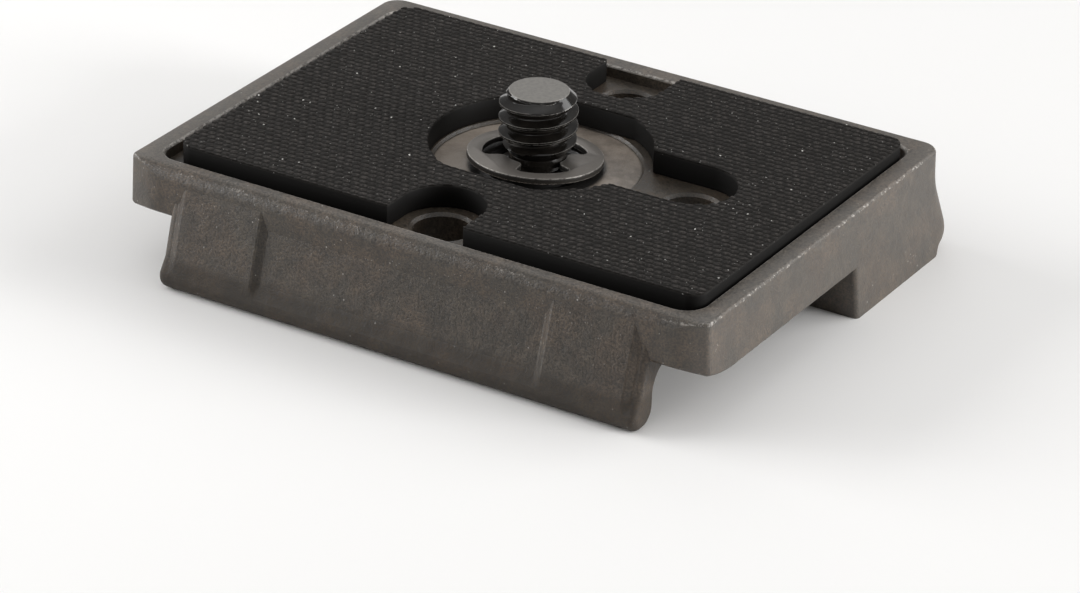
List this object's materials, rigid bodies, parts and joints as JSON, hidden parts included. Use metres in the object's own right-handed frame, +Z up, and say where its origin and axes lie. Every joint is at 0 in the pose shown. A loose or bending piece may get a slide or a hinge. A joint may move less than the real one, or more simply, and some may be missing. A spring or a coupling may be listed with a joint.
{
  "type": "tripod quick release plate",
  "caption": "Flat cast camera plate with flared dovetail walls, a textured rubber grip pad and a captive camera screw that a folding wire ring turns from below.",
  "frame": {"origin": "on the floor under the middle of the plate, on the camera screw's axis", "axes": "+X along the plate, +Z up along the camera screw, -Y towards the front wall with its raised pads"},
  "size_m": [0.0532, 0.043, 0.0149],
  "materials": {
    "cast_body": "dark matte casting",
    "grip_rubber": "matte, woven texture",
    "ring_steel": "dark satin",
    "screw_steel": "dark polished",
    "wire_steel": "bright wire"
  },
  "bodies": {
    "plate": {"plate_body": "cast_body", "grip_pad": "grip_rubber"},
    "retainer": {"retaining_ring": "ring_steel"},
    "screw": {"camera_screw": "screw_steel"},
    "wire_ring": {"d_ring": "wire_steel"}
  },
  "joints": [
    {"name": "screw_float", "type": "slide", "parent": "plate", "child": "retainer", "axis": [0, 0, 1], "range_m": [-0.0001, 0.0009]},
    {"name": "screw_turn", "type": "hinge", "parent": "retainer", "child": "screw", "pos_m": [0, 0, 0.009], "axis": [0, 0, 1], "continuous": true},
    {"name": "ring_fold", "type": "hinge", "parent": "screw", "child": "wire_ring", "pos_m": [0, 0, 0.0034], "axis": [1, 0, 0], "range_deg": [0, 180]}
  ]
}
